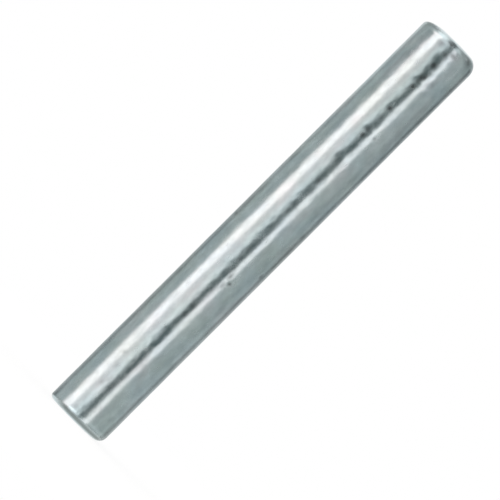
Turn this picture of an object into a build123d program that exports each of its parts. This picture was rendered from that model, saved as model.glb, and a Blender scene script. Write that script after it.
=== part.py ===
from build123d import *

import os

# Retaining pin for an impact socket.
#
# The pin is one piece: a length of round steel rod, parted off, tumbled and plated all over. It
# goes through the cross hole of an impact socket and the hole in the drive square inside it, and a
# rubber ring in the groove round the socket covers both ends of it, so that it can't fly out.
#
# Frame: millimetres, +Z up along the pin's axis. The origin is the centre of the foot face, the
# flat end that the pin stands on. The nose is the other end, and it enters the hole first.

# The rod: its diameter clears the cross hole, and its length lies inside the socket's groove.
pin_diameter = 3.0
pin_length = 23.0

# The foot is parted off square, and tumbling only breaks its edge.
foot_edge_radius = 0.25

# The nose has a full lead-in radius round a smaller flat, so that the pin finds the hole.
nose_edge_radius = 0.5

with BuildPart() as retaining_pin:
    # The rod, parted off to length
    with BuildSketch(Plane.XY):
        Circle(pin_diameter / 2)
    extrude(amount=pin_length)

    # The two rims, each rounded by its own radius
    foot_rim = retaining_pin.edges().filter_by(GeomType.CIRCLE).sort_by(Axis.Z)[0]
    fillet(foot_rim, foot_edge_radius)
    nose_rim = retaining_pin.edges().filter_by(GeomType.CIRCLE).sort_by(Axis.Z)[-1]
    fillet(nose_rim, nose_edge_radius)

retaining_pin.part.label = "retaining_pin"

os.makedirs("parts", exist_ok=True)
export_step(retaining_pin.part, "parts/retaining_pin.step")
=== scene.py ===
# %% [markdown]
# # A socket retaining pin
#
# This pin keeps an impact socket on the square of its driver. It is a length of round steel rod, parted
# off, tumbled in a barrel until its edges are round, and plated with bright zinc. The scene starts from
# the CAD model, which gives the true size, and adds what a designer's solid doesn't carry: the slight
# unevenness that drawing and tumbling leave, the plating, rubbed and dirty in places, a band of painted
# shade on the foot's rim, and the studio that the plating reflects.

# %% Load the CAD model
import math

import bpy
from mathutils import Matrix, Vector, noise


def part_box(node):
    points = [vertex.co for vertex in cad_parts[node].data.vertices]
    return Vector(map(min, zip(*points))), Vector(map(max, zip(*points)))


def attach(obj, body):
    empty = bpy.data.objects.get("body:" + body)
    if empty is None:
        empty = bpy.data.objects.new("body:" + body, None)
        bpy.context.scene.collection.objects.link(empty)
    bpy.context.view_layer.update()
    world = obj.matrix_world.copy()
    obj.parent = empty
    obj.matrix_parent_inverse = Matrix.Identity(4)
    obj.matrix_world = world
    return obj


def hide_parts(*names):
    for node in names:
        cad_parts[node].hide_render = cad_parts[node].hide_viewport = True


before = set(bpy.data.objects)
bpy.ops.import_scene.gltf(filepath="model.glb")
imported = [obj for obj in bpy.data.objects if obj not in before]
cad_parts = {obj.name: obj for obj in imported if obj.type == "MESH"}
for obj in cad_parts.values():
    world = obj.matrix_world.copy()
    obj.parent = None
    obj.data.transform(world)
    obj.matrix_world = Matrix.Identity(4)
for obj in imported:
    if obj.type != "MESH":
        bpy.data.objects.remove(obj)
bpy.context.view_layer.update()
print("nodes", sorted(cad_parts))

# %% [markdown]
# ## Sizes
#
# Blender works in metres and a pin this small is thought of in millimetres, so one name turns the one
# into the other. Diameter and length are read from the CAD node and aren't typed in again.

# %% Read the pin's size
MM = 0.001
pin_low, pin_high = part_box("retaining_pin")
pin_radius = (pin_high.x - pin_low.x) / 2
pin_length = pin_high.z - pin_low.z
pin_middle = Vector((0, 0, pin_low.z + pin_length / 2))
print("radius", round(pin_radius / MM, 3), "mm, length", round(pin_length / MM, 3), "mm")

# %% [markdown]
# ## Directions round the pin
#
# Everything here goes round one upright axis, so a direction is an angle round it and a height above the
# level, both in degrees. Angle 0 faces the camera, and +90 is to the camera's right.

# %% Turn two angles into a direction
def direction(turn, height=0.0):
    """The unit vector at turn degrees round the pin and height degrees above the level."""
    turn = math.radians(turn)
    height = math.radians(height)
    return Vector((math.sin(turn) * math.cos(height), -math.cos(turn) * math.cos(height), math.sin(height)))


print("to the camera", [round(part, 3) for part in direction(0)])
print("to its right", [round(part, 3) for part in direction(90)])

# %% [markdown]
# ## The rims
#
# Tumbling rounds the two ends, but never quite evenly. The foot was parted off square and has a small
# rounding, tighter on the left and a little taller at the front. The nose has a fuller lead-in, and on the
# left it is more of a slope than an arc. A bevel modifier would give both ends one perfect radius, so each
# rim is worked out from its own depth and width instead, which change smoothly with the angle.

# %% Depth and width of each rim, by angle
foot_depth, foot_width = 0.30 * MM, 0.29 * MM
foot_uneven, foot_front = 0.12 * MM, 0.11 * MM
nose_depth, nose_width = 0.49 * MM, 0.68 * MM
nose_depth_uneven, nose_width_uneven = 0.12 * MM, -0.14 * MM


def foot_rim(turn):
    """How far the foot's rounding reaches up the side and in across the face, at an angle in radians."""
    swing = foot_uneven * math.sin(turn)
    return foot_depth + swing + foot_front * math.cos(turn), foot_width + swing


def nose_rim(turn):
    """How far the nose's rounding reaches down the side and in across the face, at an angle in radians."""
    swing = math.sin(turn)
    return nose_depth + nose_depth_uneven * swing, nose_width + nose_width_uneven * swing


for side, turn in (("left", -90), ("front", 0), ("right", 90)):
    reaches = foot_rim(math.radians(turn)) + nose_rim(math.radians(turn))
    print(side, "foot up and in, nose down and in:", [round(reach / MM, 2) for reach in reaches], "mm")

# %% [markdown]
# ## The outline
#
# The pin is turned work, so its mesh is a lathe shape: one outline carried round the axis. A cylinder
# with a bevel would do from far away, but bright metal shows every thousandth of a millimetre, and a
# perfect cylinder reads as computer work at once. The outline is therefore cut every 0.05 mm, up the pin
# and round it, so that the real unevenness can be in the mesh.

# %% Lay out the rows of the outline
columns = 192
# Each zone of the outline, from the foot's middle to the nose's, and the number of rows in it.
zones = (("foot_face", 9), ("foot_rim", 9), ("side", 460), ("nose_rim", 9), ("nose_face", 9))

# A row is its zone and its share of the way through it. The last one would be the nose's middle, which is
# a single point and comes later.
rows = [(zone, (i + 1) / count) for zone, count in zones for i in range(count)][:-1]
print("rows", len(rows), "triangles", 2 * columns * len(rows))


# %% Find one point of the outline
def outline_point(zone, share, turn):
    """Radius and height of the outline at one row, with the way that the surface faces there."""
    up, across = foot_rim(turn)
    down, inward = nose_rim(turn)
    sweep = share * math.pi / 2
    if zone == "foot_face":
        return share * (pin_radius - across), 0.0, (0.0, -1.0)
    if zone == "foot_rim":
        facing = (math.sin(sweep), -math.cos(sweep))
        return pin_radius - across + across * facing[0], up + up * facing[1], facing
    if zone == "side":
        return pin_radius, up + share * (pin_length - down - up), (1.0, 0.0)
    if zone == "nose_rim":
        facing = (math.cos(sweep), math.sin(sweep))
        return pin_radius - inward + inward * facing[0], pin_length - down + down * facing[1], facing
    return (1 - share) * (pin_radius - inward), pin_length, (0.0, 1.0)


half_way = outline_point("nose_rim", 0.5, 0.0)
print("half way over the nose's rim", [round(size / MM, 3) for size in half_way[:2]], "mm out and up")

# %% [markdown]
# ## Waves and dimples
#
# A drawn rod has long shallow waves, and tumbling adds small dimples between them. Both are only a few
# thousandths of a millimetre deep, but they bend the borders of the reflections, which is what makes the
# pin look like plated steel. A displacement texture could do this. Perlin noise in real millimetres is
# simpler here, because it is stretched along the rod in one line, and it needs no random numbers, so each
# run gives the same pin.

# %% Height of the waves and dimples
wave_size, wave_depth = 0.80 * MM, 0.0060 * MM
dimple_size, dimple_depth = 0.27 * MM, 0.0032 * MM
dimple_start = Vector((7, 3, 5))
rod_stretch = 1.8


def waves_and_dimples(point):
    """How far the waves and dimples lift the metal at a point."""
    stretched = Vector((point.x, point.y, point.z / rod_stretch))
    height = wave_depth * noise.noise(stretched / wave_size)
    return height + dimple_depth * noise.noise(stretched / dimple_size + dimple_start)


front_spot = pin_middle + direction(0) * pin_radius
print("lifted at the middle of the front by", round(waves_and_dimples(front_spot) / MM, 4), "mm")

# %% [markdown]
# ## The die's score mark
#
# The die that the rod was drawn through had a nick, and it left one scuffed track along the whole rod. A
# straight groove would look machined, so it is a band of rough noise, which fades to both sides as a bell
# curve does. The same curve serves for every mark on the pin: at one width from its middle it is down to a
# fiftieth.

# %% Height of the score mark
bell_fall = 4.0
track_turn, track_width = -3.0, 0.26 * MM
track_size, track_depth = 0.30 * MM, 0.0060 * MM
track_start = Vector((2, 8, 4))
# What is nearer the axis than this share of the radius is an end face.
face_share = 0.9


def score_mark(point):
    """How far the score mark lifts the metal at a point, on the side and the rims."""
    if math.hypot(point.x, point.y) <= face_share * pin_radius:
        return 0.0
    across = (math.atan2(point.x, -point.y) - math.radians(track_turn)) * pin_radius
    track = math.exp(-bell_fall * (across / track_width) ** 2)
    return track_depth * track * noise.noise(point / track_size + track_start)


print("score mark at the middle of the front", round(score_mark(front_spot) / MM, 4), "mm")

# %% [markdown]
# ## Dents, steps and dirt
#
# A tumbled pin carries marks of three kinds. Dents are knocks from other pins, and some hold dirt. Steps
# are places where the score mark digs in: steep on the left, and running out gently on the right. Dirt
# is drawing soap and polishing dust, mostly in the score mark. Noise would spread marks evenly, and real
# ones come singly and in clusters, so each is given one by one.

# %% List the dents
# Angle in degrees, then height up the pin, width round it, length along it and depth in millimetres, and
# how dirty the dent is, from 0 to 1.
dents = (
    (22.5, 8.83, 0.24, 0.24, 0.015, 0.80),
    (15.0, 8.60, 0.34, 0.50, 0.003, 0.40),
    (14.0, 9.08, 0.26, 0.50, 0.003, 0.60),
    (22.0, 17.60, 0.26, 0.28, 0.009, 0.55),
    (-69.0, 11.16, 0.30, 0.30, 0.012, 0.60),
    (61.0, 10.00, 0.34, 0.34, 0.012, 0.40),
    (46.0, 1.25, 0.40, 0.40, 0.010, 0.00),
    (17.0, 22.45, 0.55, 0.34, 0.005, 0.65),
    (-12.0, 22.48, 0.40, 0.40, 0.004, 0.35),
    (50.5, 22.79, 0.52, 0.50, 0.012, 1.00),
    (150.0, 6.20, 0.26, 0.26, 0.012, 0.80),
    (-140.0, 15.40, 0.30, 0.30, 0.010, 0.40),
    (112.0, 18.80, 0.45, 0.45, 0.008, 0.00),
    (14.0, 4.70, 0.26, 0.44, 0.004, 0.00),
    (14.0, 15.87, 0.26, 0.44, 0.004, 0.00),
    (14.0, 21.88, 0.26, 0.40, 0.004, 0.00),
)
print("dents", len(dents))

# %% List the score mark's steps
# Angle, height, width, length and depth, as for the dents, and how many widths the step runs out.
steps = (
    (0.0, 3.70, 0.24, 0.60, 0.004, 4),
    (0.0, 5.60, 0.24, 0.40, 0.005, 4),
    (0.0, 9.60, 0.24, 0.40, 0.006, 4),
    (0.0, 13.65, 0.24, 0.35, 0.006, 4),
    (4.0, 16.00, 0.50, 0.56, 0.031, 9),
    (1.0, 17.70, 0.40, 0.32, 0.019, 9),
    (1.0, 19.02, 0.34, 0.34, 0.008, 9),
    (1.0, 20.64, 0.40, 0.32, 0.018, 9),
    (1.0, 21.26, 0.40, 0.30, 0.017, 9),
    (2.5, 21.90, 0.44, 0.60, 0.027, 9),
)
print("steps", len(steps))

# %% List the dirt
# Angle, height, width and length, as for the dents, and how dirty the spot is, from 0 to 1.
smudges = (
    (14.0, 3.60, 0.40, 1.60, 0.14),
    (27.0, 20.96, 0.30, 0.40, 0.25),
    (-22.0, 3.63, 0.34, 0.34, 0.30),
    (-15.0, 3.00, 0.26, 0.36, 0.22),
    (-14.0, 2.02, 0.26, 0.36, 0.16),
    (-15.0, 0.50, 0.26, 0.30, 0.18),
    (-27.0, 0.20, 0.50, 0.18, 0.60),
    (-68.0, 0.30, 0.30, 0.30, 0.35),
)
score_dirt = (
    (4.0, 2.16, 0.24, 0.50, 0.34),
    (4.0, 6.58, 0.26, 0.44, 0.55),
    (4.0, 7.06, 0.26, 0.40, 0.45),
    (4.0, 9.92, 0.26, 0.44, 0.45),
    (4.0, 10.45, 0.24, 0.36, 0.40),
    (4.0, 12.80, 0.24, 0.34, 0.35),
    (4.0, 13.20, 0.24, 0.40, 0.32),
    (4.0, 14.62, 0.24, 0.36, 0.60),
    (3.0, 15.86, 0.24, 0.36, 0.40),
    (2.0, 17.36, 0.30, 0.36, 0.85),
    (1.0, 17.68, 0.32, 0.38, 0.80),
    (4.0, 18.44, 0.24, 0.34, 0.40),
    (2.5, 18.97, 0.28, 0.34, 1.00),
    (4.5, 20.33, 0.28, 0.32, 0.90),
    (4.0, 20.66, 0.26, 0.36, 0.60),
    (4.0, 20.84, 0.28, 0.60, 0.85),
    (8.0, 20.94, 0.24, 0.46, 0.90),
    (4.0, 21.58, 0.32, 0.40, 0.95),
    (5.0, 22.26, 0.26, 0.34, 0.62),
    (10.0, 22.15, 0.22, 0.60, 0.35),
)
print("smudges", len(smudges), "and in the score mark", len(score_dirt))


# %% Lay the marks out on the metal
def lay_out_mark(turn, height, width, length, depth=0.0, dirt=0.0, run_out=1):
    """A mark's middle on the metal, the ways out of it and round the pin, and its sizes in metres."""
    return {
        "spot": direction(turn) * pin_radius + Vector((0, 0, height * MM)),
        "out_way": direction(turn),
        "round_way": direction(turn + 90),
        "width": width * MM,
        "length": length * MM,
        "run_out": run_out,
        "depth": depth * MM,
        "dirt": dirt,
    }


marks = [lay_out_mark(*dent) for dent in dents]
marks += [lay_out_mark(*step[:5], run_out=step[5]) for step in steps]
marks += [lay_out_mark(*smudge[:4], dirt=smudge[4]) for smudge in smudges + score_dirt]
print("marks", len(marks))

# %% Find a mark's share at a point
mark_reach = 1.5


def mark_share(point, mark, spread=1.0):
    """1 at the middle of a mark, and next to nothing at one width or length from it."""
    offset = point - mark["spot"]
    length = mark["length"] * spread
    if abs(offset.z) > mark_reach * length:
        return 0.0
    sideways = offset.dot(mark["round_way"])
    width = mark["width"] * spread * (mark["run_out"] if sideways > 0 else 1)
    reach = (sideways / width) ** 2 + (offset.z ** 2 + offset.dot(mark["out_way"]) ** 2) / length ** 2
    return math.exp(-bell_fall * reach) if reach < mark_reach ** 2 else 0.0


print("in the first dent's middle", mark_share(marks[0]["spot"], marks[0]))


# %% Height above the true form
def unevenness(point):
    """How far the metal stands above its true form at a point, or below it where that is negative."""
    height = waves_and_dimples(point) + score_mark(point)
    for mark in marks:
        height -= mark["depth"] * mark_share(point, mark)
    return height


deepest = max(marks, key=lambda mark: mark["depth"])
print("deepest mark", round(unevenness(deepest["spot"]) / MM, 3), "mm")

# %% [markdown]
# ## Wear, painted shade and dirt
#
# The foot's rim has been rubbed on the bench, so its plating is dull, most of all at the front right. The
# same band is painted darker, which is painted shade: it stands for the shaded floor under the foot that
# the rim reflects. A mark's dirt lies in the middle of the mark. All of these could be painted by hand as
# vertex colours. Working them out from a point's place keeps them where the rim and the marks are,
# whatever the size of the mesh.

# %% Wear, painted shade and dirt at a point
# Lower and upper height of the band of rubbed plating and painted shade, and how far it fades beyond them.
wear_and_shade_low, wear_and_shade_high, wear_and_shade_fade = 0.09 * MM, 0.20 * MM, 0.07 * MM
wear_and_shade_turn = 20
least_wear_and_shade = 0.2
wear_and_shade_contrast, wear_and_shade_start = 1.8, 0.2
dirt_spread = 0.75


def wear_and_shade_at(point):
    """How worn the plating is at a point, and how much shade is painted there, from 0 to 1."""
    past = max(wear_and_shade_low - point.z, point.z - wear_and_shade_high, 0.0)
    outwards = Vector((point.x, point.y, 0)) / pin_radius
    rubbed = wear_and_shade_contrast * outwards.dot(direction(wear_and_shade_turn)) - wear_and_shade_start
    return min(1.0, max(least_wear_and_shade, rubbed)) * max(0.0, 1.0 - past / wear_and_shade_fade)


def dirt_at(point):
    """How much dirt lies at a point, from 0 to 1."""
    return max(mark["dirt"] * mark_share(point, mark, dirt_spread) for mark in marks)


rim_spot = direction(wear_and_shade_turn) * pin_radius + Vector((0, 0, wear_and_shade_high))
print("wear on the front of the foot's rim", round(wear_and_shade_at(rim_spot), 2))

# %% [markdown]
# ## The skin of the pin
#
# The skin is one closed mesh: the outline's points, moved along the way that the surface faces, and joined
# row by row. A sculpted cylinder would have uneven faces, and these stay in even rows, which bright metal
# needs. Nothing stands prouder than 0.003 mm from the rod, and nothing at all from the rims and faces, so
# the pin keeps its size. Rubbed plating with its painted shade, and dirt, are stored on the points, for the
# material to read.

# %% Work out the points of the skin
proud_limit = 0.003 * MM


def skin_points():
    """The foot's middle, the rows from foot to nose, and the nose's middle."""
    points = [Vector((0, 0, 0))]
    for zone, share in rows:
        limit = proud_limit if zone == "side" else 0.0
        for column in range(columns):
            turn = 2 * math.pi * column / columns
            radius, height, (out, rise) = outline_point(zone, share, turn)
            way = direction(math.degrees(turn))
            point = way * radius + Vector((0, 0, height))
            facing = way * out + Vector((0, 0, rise))
            points.append(point + facing * min(unevenness(point), limit))
    points.append(Vector((0, 0, pin_length)))
    return points


pin_points = skin_points()
print("points", len(pin_points))


# %% Join the points with faces
def skin_faces():
    """Squares between each row and the next, and a fan of triangles at each end."""
    faces = []
    for row in range(len(rows) - 1):
        start = 1 + row * columns
        for column in range(columns):
            here, beside = start + column, start + (column + 1) % columns
            faces.append((here, beside, beside + columns, here + columns))
    last = 1 + (len(rows) - 1) * columns
    top = last + columns
    for column in range(columns):
        beside = (column + 1) % columns
        faces.append((0, 1 + beside, 1 + column))
        faces.append((top, last + column, last + beside))
    return faces


pin_mesh = bpy.data.meshes.new("pin_skin")
pin_mesh.from_pydata(pin_points, [], skin_faces())
pin_mesh.shade_smooth()
pin_mesh.validate()
# Dirt goes on the points as one layer, and the rim's rubbed plating with its painted shade as another.
for layer_name, measure in (("dirt", dirt_at), ("wear", wear_and_shade_at)):
    layer = pin_mesh.attributes.new(layer_name, "FLOAT", "POINT")
    layer.data.foreach_set("value", [measure(point) for point in pin_points])
pin_skin = bpy.data.objects.new("pin_skin", pin_mesh)
bpy.context.scene.collection.objects.link(pin_skin)
print("faces", len(pin_mesh.polygons))

# %% [markdown]
# ## Tools for the finish
#
# Colours are written as the hex values that a paint chart or a web page uses. Blender wants them linear,
# so one function turns them. A material is a tree of nodes, which could be clicked together in the shader
# editor. Here one function adds a node with its settings and links, so a tree reads from top to bottom.

# %% Colour and node helpers
def colour(hex_value):
    """An sRGB hex colour as Blender's linear red, green, blue and alpha."""
    channels = [int(hex_value[i : i + 2], 16) / 255 for i in (1, 3, 5)]
    linear = [c / 12.92 if c <= 0.04045 else ((c + 0.055) / 1.055) ** 2.4 for c in channels]
    return (*linear, 1.0)


def add_node(tree, kind, inputs=None, **settings):
    """Adds one node to a tree: settings are its properties, and inputs are values or sockets to link."""
    node = tree.nodes.new(kind)
    for name, value in settings.items():
        setattr(node, name, value)
    for socket, value in (inputs or {}).items():
        if isinstance(value, bpy.types.NodeSocket):
            tree.links.new(value, node.inputs[socket])
        else:
            node.inputs[socket].default_value = value
    return node


# A Mix node has sockets for each kind of value, and several share a name, so they go by their numbers.
share_in, number_a, number_b, colour_a, colour_b = 0, 2, 3, 6, 7
number_out, colour_out = 0, 2
print("a middle grey in linear light", [round(channel, 3) for channel in colour("#808080")])

# %% [markdown]
# ## Bright zinc plate
#
# The finish is zinc, a few thousandths of a millimetre thick, plated on tumbled steel and passivated
# clear. To the eye that is a satin mirror: cool grey, with reflections that keep their place but lose
# their edges. Its patterns could be painted on an image, but that has to be wrapped round the pin, with a
# seam. Noise in the pin's own millimetres has none, and it stretches along the rod as the waves do.

# %% Start the plate, in millimetres
zinc_plate = bpy.data.materials.new("zinc_plated_steel")
zinc_plate.use_nodes = True
zinc = zinc_plate.node_tree
zinc.nodes.clear()

metres = add_node(zinc, "ShaderNodeTexCoord")
place = add_node(
    zinc, "ShaderNodeVectorMath", {0: metres.outputs["Object"], "Scale": 1 / MM}, operation="SCALE"
).outputs[0]
along_rod = add_node(
    zinc, "ShaderNodeVectorMath", {0: place, 1: (1, 1, 1 / rod_stretch)}, operation="MULTIPLY"
).outputs[0]
# The same place moved away, for noise that isn't to match the first.
elsewhere = add_node(
    zinc, "ShaderNodeVectorMath", {0: along_rod, 1: (4.0, 9.0, 2.0)}, operation="ADD"
).outputs[0]


def patches(where, size, start, end, outside=0.0, inside=1.0, detail=2.0, roughness=0.5):
    """Soft patches, size millimetres across: outside where noise is below start, inside where above end."""
    pattern = add_node(
        zinc, "ShaderNodeTexNoise",
        {"Vector": where, "Scale": 1 / size, "Detail": detail, "Roughness": roughness},
    )
    levels = {"From Min": start, "From Max": end, "To Min": outside, "To Max": inside}
    return add_node(zinc, "ShaderNodeMapRange", {"Value": pattern.outputs["Fac"], **levels}).outputs[0]


print("nodes that measure the plate", len(zinc.nodes))

# %% [markdown]
# ### Tint
#
# The clear film is thicker in some places than in others, and it tints the light there, as oil does on
# water. That gives faint clouds about a millimetre across, from blue-grey to green-grey, with rose in some
# of them. Flecks a third as large are a shade darker. One even colour would look like paint.

# %% Tint the plate
film_cloud = 1.1
fleck_size = 0.35
blue_grey, green_grey, rose_grey = colour("#CEDDE1"), colour("#D1DEDD"), colour("#D7DDDF")
clean_white, fleck_grey = colour("#FFFFFF"), colour("#F0F0F0")

cool_share = patches(along_rod, film_cloud, 0.35, 0.65)
cool_tint = add_node(
    zinc, "ShaderNodeMix", {share_in: cool_share, colour_a: blue_grey, colour_b: green_grey},
    data_type="RGBA",
).outputs[colour_out]
rose_share = patches(elsewhere, film_cloud, 0.5, 0.7, inside=0.7)
film_tint = add_node(
    zinc, "ShaderNodeMix", {share_in: rose_share, colour_a: cool_tint, colour_b: rose_grey},
    data_type="RGBA",
).outputs[colour_out]
fleck_share = patches(along_rod, fleck_size, 0.35, 0.7, detail=3.0)
fleck_shade = add_node(
    zinc, "ShaderNodeMix", {share_in: fleck_share, colour_a: clean_white, colour_b: fleck_grey},
    data_type="RGBA",
).outputs[colour_out]
clean_colour = add_node(
    zinc, "ShaderNodeMix", {share_in: 1.0, colour_a: film_tint, colour_b: fleck_shade},
    data_type="RGBA", blend_type="MULTIPLY",
).outputs[colour_out]
print("nodes with the tint", len(zinc.nodes))

# %% [markdown]
# ### Gloss
#
# A bright metal's roughness is usually between 0.1 and 0.3, and tumbled plate is in the middle of that. One
# value for all of it would blur every reflection alike, so the gloss varies. Satin patches of half a
# millimetre blur reflections a little more than what lies between them, and so do tiny pits. Real pits are
# finer than can be seen one by one, so they are drawn coarser, 0.18 mm apart. Some of the film is milky and
# scatters light, so there the plate is a tenth less metal.

# %% Vary the gloss
satin_patch = 0.45
pit_spacing = 0.18
milky_patch = 0.7
least_satin, most_satin = 0.205, 0.235
pit_dullness = 0.05
milky_metal = 0.89

satin = patches(along_rod, satin_patch, 0.35, 0.65, outside=least_satin, inside=most_satin)
pitted = patches(along_rod, pit_spacing, 0.5, 0.68, inside=pit_dullness)
clean_dullness = add_node(zinc, "ShaderNodeMath", {0: satin, 1: pitted}, operation="ADD").outputs[0]
metal_share = patches(
    elsewhere, milky_patch, 0.42, 0.63, outside=1.0, inside=milky_metal, detail=4.0, roughness=0.65
)
print("nodes with the gloss", len(zinc.nodes))

# %% [markdown]
# ### Wear, painted shade and dirt on the plate
#
# Rubbed plate is much duller, and on the foot's rim it is also painted darker, which is painted shade.
# Soap and dust in the marks are dark grey, and dull the plate only a little, since they lie thin. More
# noise would put both anywhere, so the plate reads them from the skin's points, where they were worked out.

# %% Wear the plate, paint shade on its rim and let it get dirty
# The darker grey on the foot's rim is painted shade, and its dullness is rubbed plating.
painted_rim_shade_grey, worn_dullness = colour("#8C9695"), 0.45
dirt_grey, dirt_dullness = colour("#5A6060"), 0.28

wear_and_shade_share = add_node(zinc, "ShaderNodeAttribute", attribute_name="wear").outputs["Fac"]
dirt_share = add_node(zinc, "ShaderNodeAttribute", attribute_name="dirt").outputs["Fac"]
# This mix paints the shade on the foot's rim.
rim_shade_colour = add_node(
    zinc, "ShaderNodeMix", {share_in: wear_and_shade_share, colour_a: clean_colour, colour_b: painted_rim_shade_grey},
    data_type="RGBA",
).outputs[colour_out]
plate_colour = add_node(
    zinc, "ShaderNodeMix", {share_in: dirt_share, colour_a: rim_shade_colour, colour_b: dirt_grey},
    data_type="RGBA",
).outputs[colour_out]
rubbed_dullness = add_node(
    zinc, "ShaderNodeMix", {share_in: wear_and_shade_share, number_a: clean_dullness, number_b: worn_dullness}
).outputs[number_out]
plate_dullness = add_node(
    zinc, "ShaderNodeMix", {share_in: dirt_share, number_a: rubbed_dullness, number_b: dirt_dullness}
).outputs[number_out]
print("nodes with wear and dirt", len(zinc.nodes))

# %% [markdown]
# ### Grain
#
# Zinc plate grows as crystals, and they give it a fine grain. That is too fine for the mesh, so it is a
# bump, which tilts the light and leaves the mesh as it is. Real crystals are a few thousandths of a
# millimetre across, too fine to see, so the grain is drawn coarser, 0.11 mm across.

# %% Finish the plate
grain_size = 0.11
grain_height = 0.0009 * MM

crystals = add_node(zinc, "ShaderNodeTexNoise", {"Vector": place, "Scale": 1 / grain_size, "Detail": 2.0})
grain = add_node(
    zinc, "ShaderNodeBump",
    {"Height": crystals.outputs["Fac"], "Strength": 1.0, "Distance": grain_height},
)
plate = add_node(
    zinc, "ShaderNodeBsdfPrincipled",
    {
        "Base Color": plate_colour,
        "Metallic": metal_share,
        "Roughness": plate_dullness,
        "Normal": grain.outputs["Normal"],
    },
)
add_node(zinc, "ShaderNodeOutputMaterial", {"Surface": plate.outputs[0]})
print("nodes in the finished plate", len(zinc.nodes))

# %% [markdown]
# ## Dress the part
#
# The skin could be parented to the CAD solid by hand, but then nothing would say what it stands for. So
# three calls write that down: the body that the skin rides on, the node that it replaces, and the finish
# that it shows. The CAD node gets the same plate, so that it looks right wherever it is shown instead.

# %% Put the skin on the part
pin_skin.data.materials.append(zinc_plate)
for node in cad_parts.values():
    node.data.materials.clear()
    node.data.materials.append(zinc_plate)

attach(pin_skin, "root")
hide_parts("retaining_pin")
print("dressed", len(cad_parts), "node")

# %% [markdown]
# ## White card
#
# The pin stands on white card, lit until it is nearly pure white. Strong lamps could do that, but the metal
# would show them. So the card glows by itself as far as the camera sees it, apart from a small share that
# still takes shade from the pin, and reflections see it pure white.

# %% Make the white card
camera_whitening = 0.85

white_card = bpy.data.materials.new("white_card")
white_card.use_nodes = True
card = white_card.node_tree
card.nodes.clear()
matt = add_node(card, "ShaderNodeBsdfDiffuse", {"Color": colour("#FFFFFF")})
paper_white = add_node(card, "ShaderNodeEmission", {"Color": colour("#FFFFFF")})
ray = add_node(card, "ShaderNodeLightPath")
whitening = add_node(
    card, "ShaderNodeMath",
    {0: ray.outputs["Is Camera Ray"], 1: camera_whitening, 2: ray.outputs["Is Glossy Ray"]},
    operation="MULTIPLY_ADD",
)
whitened = add_node(
    card, "ShaderNodeMixShader",
    {0: whitening.outputs[0], 1: matt.outputs[0], 2: paper_white.outputs[0]},
)
add_node(card, "ShaderNodeOutputMaterial", {"Surface": whitened.outputs[0]})
print("nodes in the white card", len(card.nodes))

# %% [markdown]
# ## The floor
#
# One sheet of card would do for the shade under the pin. But the foot's rim and the lowest part of the side
# would show nothing else, and lose their shape. So the card is cut in two, and only the small disc in the
# middle shows in reflections. It lies a hair below the foot, so that the two faces aren't in one plane.

# %% Lay the floor
floor_middle = pin_radius + 0.3 * MM
floor_edge = 60 * MM
floor_corners = 96
floor_gap = 0.005 * MM


def lay_card(name, inner, outer, in_reflections):
    """A flat ring of white card round the pin, or a disc where it has no inner edge."""
    ways = [direction(360 * i / floor_corners) for i in range(floor_corners)]
    turns = [(i, (i + 1) % floor_corners) for i in range(floor_corners)]
    if inner:
        points = [way * inner for way in ways] + [way * outer for way in ways]
        faces = [(i, i + floor_corners, beside + floor_corners, beside) for i, beside in turns]
    else:
        points = [Vector((0, 0, 0))] + [way * outer for way in ways]
        faces = [(0, 1 + i, 1 + beside) for i, beside in turns]
    mesh = bpy.data.meshes.new(name)
    mesh.from_pydata([point - Vector((0, 0, floor_gap)) for point in points], [], faces)
    floor = bpy.data.objects.new(name, mesh)
    bpy.context.scene.collection.objects.link(floor)
    floor.visible_glossy = in_reflections
    mesh.materials.append(white_card)


lay_card("floor_middle", 0, floor_middle, True)
lay_card("floor_surround", floor_middle, floor_edge, False)
print("floor", round(2 * floor_edge / MM), "mm across")

# %% [markdown]
# ## The studio
#
# Bright metal has hardly any look of its own: it shows what stands round it. So the studio is a ring of
# tall cards and lights round the pin, in front of a plain white world. An environment image could do it
# too, but cards can be moved one by one until each band on the pin is right.
#
# Each card is a patch of a large sphere, given by two angles round the pin and two heights. The pin halves
# the angles: a card at 90 degrees shows at 45 degrees round the pin. Its side only shows what stands a few
# degrees from the level, the foot's half what is below it and the nose's half what is above. The rims show
# the rest: the foot's rim shows the low cards and the nose's rim the high ones. Near the level the cards
# lean to the right as they rise, so the bands drift a little from the foot to the nose.
#
# The cards are only there for the metal to see, and the camera looks through them. Each card and cloth
# is painted light: it glows at its own grey, as it would look when lit, and no lamp lights it.

# %% Hang up a glowing piece
studio_radius = 200 * MM
studio = []


def hang_up(name, points, faces, hex_value, strength, lights_floor):
    """A glowing piece that only the pin's reflections see, and the floor too if it is told so."""
    mesh = bpy.data.meshes.new(name)
    mesh.from_pydata(points, [], faces)
    piece = bpy.data.objects.new(name, mesh)
    bpy.context.scene.collection.objects.link(piece)
    material = bpy.data.materials.new(name)
    material.use_nodes = True
    tree = material.node_tree
    tree.nodes.clear()
    glow = add_node(tree, "ShaderNodeEmission", {"Color": colour(hex_value), "Strength": strength})
    add_node(tree, "ShaderNodeOutputMaterial", {"Surface": glow.outputs[0]})
    mesh.materials.append(material)
    piece.visible_camera = False
    piece.visible_diffuse = lights_floor
    piece.visible_shadow = lights_floor
    studio.append(piece)


print("the studio is", round(2 * studio_radius / MM), "mm across")

# %% Put up a card
card_step = 4.0
card_lean, lean_reach = 0.35, 8.0


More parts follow.
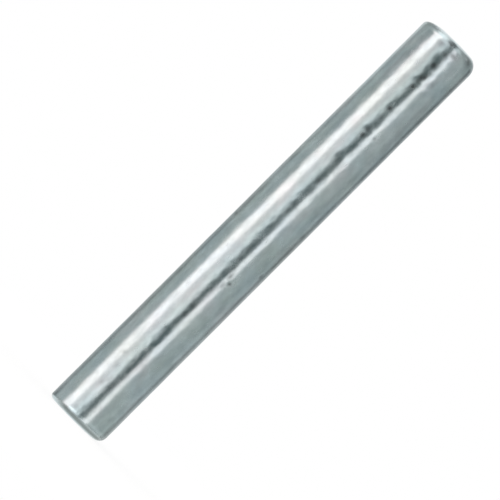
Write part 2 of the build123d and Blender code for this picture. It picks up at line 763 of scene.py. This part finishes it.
def put_up_card(name, left, right, low, high, hex_value, strength=1.0, lights_floor=False):
    """A sheet on the studio's sphere between two angles round the pin and two heights, in degrees."""
    across = max(2, math.ceil((right - left) / card_step))
    upward = max(2, math.ceil((high - low) / card_step))
    points = []
    for j in range(upward + 1):
        for i in range(across + 1):
            height = low + (high - low) * j / upward
            lean = card_lean * max(-lean_reach, min(lean_reach, height))
            way = direction(left + (right - left) * i / across + lean, height)
            points.append(pin_middle + way * studio_radius)
    faces = []
    for j in range(upward):
        for i in range(across):
            corner = j * (across + 1) + i
            faces.append((corner, corner + 1, corner + across + 2, corner + across + 1))
    hang_up(name, points, faces, hex_value, strength, lights_floor)


print("a card leans by up to", round(card_lean * lean_reach, 1), "degrees to each side")

# %% [markdown]
# ### Softbox
#
# The main light is a softbox to the left of the camera, with a faintly warm cloth. It makes the broad
# bright band on the left half of the pin. It is wider above, where only the nose's rim shows it, and a
# dimmer strip softens its left edge. It is the one piece of the studio that lights the floor too.

# %% Put up the softbox
card_low = -70
softbox_cloth, softbox_strength = "#FFF3F2", 1.68

put_up_card("softbox_edge", -74, -69, card_low, 18, softbox_cloth, 0.9)
put_up_card("softbox", -69, -43, card_low, 18, softbox_cloth, softbox_strength, lights_floor=True)
put_up_card("softbox_top", -81, -43, 18, 60, softbox_cloth, softbox_strength, lights_floor=True)
print("pieces up", len(studio))

# %% [markdown]
# ### Fill cards
#
# Between the softbox and the camera stand white fill cards, which make the light grey left of the pin's
# middle. They are in parts, because real fill isn't even: most comes from low down, where a table throws
# light back, and least from just above the level.

# %% Put up the fill cards
put_up_card("fill_card_lowest", -43, -6, card_low, -27, "#F7F3F3", 1.1)
put_up_card("fill_card_low", -43, -6, -27, -13, "#FFFFFF", 1.9)
put_up_card("fill_card_lower_left", -43, -22, -13, -4, "#F7F0F0", 0.97)
put_up_card("fill_card_lower_right", -22, -6, -13, -4, "#FEFFFF", 1.2)
put_up_card("fill_card_left", -43, -22, -4, 3, "#F1E9E9", 1.06)
put_up_card("fill_card_right", -22, -6, -4, 3, "#FEFFFF", 1.05)
put_up_card("fill_card_upper_left", -43, -22, 3, 25, "#DFD8D8")
put_up_card("fill_card_upper_right", -22, -6, 3, 25, "#E2E4E4")
put_up_card("fill_card_top", -43, -6, 25, 70, "#F6F4F4")
print("pieces up", len(studio))

# %% [markdown]
# ### The camera's cloth
#
# A polished pin shows its own camera. Here a dark cloth hides that, and it makes the dark line that runs
# down the pin just right of the middle. The cloth's left hem catches light, and so does its foot.

# %% Put up the camera's cloth
cloth_left, cloth_right = -0.4, 20.4
cloth_dark = "#415050"

put_up_card("cloth_hem", -6, cloth_left, card_low, 70, "#A8ADAD")
put_up_card("cloth_foot", cloth_left, cloth_right, card_low, -13, "#939B9B")
put_up_card("camera_cloth_foot", cloth_left, cloth_right, -13, 0, "#4B595A")
put_up_card("camera_cloth_nose", cloth_left, cloth_right, 0, 42, cloth_dark)
put_up_card("camera_cloth_top", cloth_left, 26, 42, 58, cloth_dark)
print("pieces up", len(studio))

# %% [markdown]
# ### Strip light
#
# A narrow strip light stands close to the right of the cloth. It makes the bright line beside the dark
# one, and the two together tell the eye that the metal is round and polished.

# %% Put up the strip light
strip_cloth, strip_strength = "#FFF8F9", 1.37

put_up_card("strip_light", 21.2, 38.1, -9, 42, strip_cloth, strip_strength)
put_up_card("strip_light_top", 26, 38.1, 42, 58, strip_cloth, strip_strength)
put_up_card("strip_light_low", 22, 41, card_low, -9, strip_cloth, 1.42)
print("pieces up", len(studio))

# %% [markdown]
# ### Cards on the right
#
# The right half of the pin is grey, and darkest close to its edge. Grey cards in steps make that, and the
# outer ones are in two halves, because the nose's half of the pin is darker than the foot's. The rim card
# stands behind the pin and makes the very edge light again.

# %% Put up the right-hand cards
put_up_card("right_lowest_card", 41, 122, card_low, -26, "#AFB3B3")
put_up_card("right_low_card", 41, 122, -26, -9, "#CDD1D1")
put_up_card("right_grey_card", 38.1, 66, -9, 45, "#AFB3B3")
put_up_card("right_grey_far_card", 66, 85, -9, 45, "#AEB4B3")
put_up_card("right_dark_card_foot", 85, 103, -9, 0, "#A5ABAB")
put_up_card("right_dark_card_nose", 85, 103, 0, 45, "#9CA2A2")
put_up_card("right_far_card_foot", 103, 122, -9, 0, "#B6BCBC")
put_up_card("right_far_card_nose", 103, 122, 0, 45, "#A2A8A8")
put_up_card("right_edge_card_low", 122, 143, card_low, -7, "#A9ACAC")
put_up_card("right_edge_card_foot", 122, 143, -7, 0, "#8B8D8D")
put_up_card("right_edge_card_nose", 122, 143, 0, 20, "#6F7171")
put_up_card("right_rim_card", 143, 174, card_low, 20, "#BEC0C0")
print("pieces up", len(studio))

# %% [markdown]
# ### High cards on the right
#
# The side of the pin doesn't show what stands high up, and the nose's rim does. These cards give the rim
# its greys on the right: dark ones from the lower cards, and near-white ones from the highest.

# %% Put up the high right-hand cards
put_up_card("right_back_card", 122, 160, 20, 50, "#9A9E9E")
put_up_card("right_high_card", 45, 115, 45, 58, "#A8ADAD")
put_up_card("right_top_card", 26, 115, 70, 77, "#F0F4F4")
put_up_card("right_top_front_card", 26, 88, 58, 70, "#F0F4F4")
put_up_card("right_top_side_card", 88, 115, 58, 70, "#8E9292")
put_up_card("right_top_back_card", 115, 160, 50, 66, "#A4A8A8")
put_up_card("right_highest_card", 115, 160, 66, 76, "#E6EAEA")
print("pieces up", len(studio))

# %% [markdown]
# ### Cards on the left
#
# Left of the softbox the same is done with fewer cards. Their greys give the pin's left side an outline
# against the white floor and the white world, and the rim cards make its very edge light again.

# %% Put up the left-hand cards
put_up_card("left_grey_card_foot", -100, -74, card_low, 0, "#B3B9B9")
put_up_card("left_grey_card_nose", -100, -74, 0, 18, "#9FA5A5")
put_up_card("left_grey_top_card", -100, -81, 18, 42, "#AEB4B3")
put_up_card("left_low_card", -174, -100, card_low, -18, "#B8BCBB")
put_up_card("left_far_card", -122, -100, -18, 59, "#B1B7B6")
put_up_card("left_edge_card_foot", -142, -122, -18, 3, "#8E9191")
put_up_card("left_edge_card_nose", -142, -122, 3, 20, "#A7AAAA")
put_up_card("left_rim_card_foot", -174, -142, -18, 3, "#B2B6B6")
put_up_card("left_rim_card_nose", -174, -142, 3, 20, "#DADEDE")
put_up_card("left_back_card", -173, -122, 20, 40, "#A0A4A4")
put_up_card("left_top_card", -160, -122, 40, 57, "#A0A4A4")
print("pieces up", len(studio))

# %% [markdown]
# ### High light and boom arm
#
# A high light stands over the pin's left side, and the nose's rim catches it. A black boom arm, such as
# holds a lamp over a table, reaches over the pin from the front, and the nose's rim shows it as a thin dark
# curve. The arm isn't straight and its width changes, so it is made from stations, with small steps between
# them.

# %% Put up the high light and the boom arm
arm_radius = 190 * MM


def arm_edges(swing, tilt, half_width):
    """Both edges of the arm at a station: swing up from the front, tilt sideways and half the width."""
    swing = math.radians(swing)
    edges = []
    for side in (math.radians(tilt - half_width), math.radians(tilt + half_width)):
        way = Vector((math.sin(side), -math.cos(side) * math.cos(swing), math.cos(side) * math.sin(swing)))
        edges.append(pin_middle + way * arm_radius)
    return edges


def put_up_arm(name, stations, hex_value):
    """An arm over the pin, through its stations, which are given in degrees."""
    points = []
    for start, end in zip(stations, stations[1:]):
        pieces = math.ceil((end[0] - start[0]) / card_step)
        for i in range(pieces + 1):
            between = [first + (last - first) * i / pieces for first, last in zip(start, end)]
            points += arm_edges(*between)
    faces = [(2 * i, 2 * i + 1, 2 * i + 3, 2 * i + 2) for i in range(len(points) // 2 - 1)]
    hang_up(name, points, faces, hex_value, 1.0, False)


put_up_card("high_light", -172, -50, 60, 80, "#FFFFFF", 1.35)
put_up_arm("boom_arm", ((57, 6, 6), (81, 3, 10), (110, 2, 6), (126, -0.5, 2.5)), "#0C0E0E")
print("pieces up", len(studio))

# %% [markdown]
# ## The world
#
# Where no card stands, the pin and the floor see the world. It is plain white, as the cloth of a light
# tent is, and it lights the floor evenly. A film-like view would turn white to light grey, and the Standard
# view shows every colour as it is given.

# %% Light the world
world = bpy.data.worlds.new("studio_world")
bpy.context.scene.world = world
world.use_nodes = True
world.node_tree.nodes.clear()
surround = add_node(world.node_tree, "ShaderNodeBackground", {"Color": colour("#FFFFFF"), "Strength": 1.0})
add_node(world.node_tree, "ShaderNodeOutputWorld", {"Surface": surround.outputs[0]})
bpy.context.scene.view_settings.view_transform = "Standard"
print("view", bpy.context.scene.view_settings.view_transform)

# %% [markdown]
# ## The camera
#
# The pin is seen level and square-on from 270 mm away. It is longer than the view is wide, so it lies along
# the diagonal. The pin could be turned for that, but then it would no longer stand where the CAD model
# does, so the camera is turned by 45 degrees instead. It aims a little beside the pin's middle.

# %% Place the camera
camera_distance = 270 * MM
picture_width = 21.45 * MM
camera_turn = math.radians(45.06)
sensor_width = 36.0
slip_right, slip_up = -0.621 * MM, -0.822 * MM
nearest_seen, furthest_seen = 10 * MM, 10.0

camera_right = Vector((math.cos(camera_turn), 0, math.sin(camera_turn)))
camera_up = Vector((-math.sin(camera_turn), 0, math.cos(camera_turn)))
camera_back = Vector((0, -1, 0))
camera_data = bpy.data.cameras.new("camera")
camera_data.sensor_width = sensor_width
camera_data.lens = sensor_width * camera_distance / picture_width
camera_data.clip_start = nearest_seen
camera_data.clip_end = furthest_seen
camera = bpy.data.objects.new("camera", camera_data)
aim = pin_middle + camera_right * slip_right + camera_up * slip_up
pose = Matrix((camera_right, camera_up, camera_back)).transposed().to_4x4()
pose.translation = aim + camera_back * camera_distance
camera.matrix_world = pose
bpy.context.scene.collection.objects.link(camera)
bpy.context.scene.camera = camera
print("lens", round(camera_data.lens, 1), "mm")
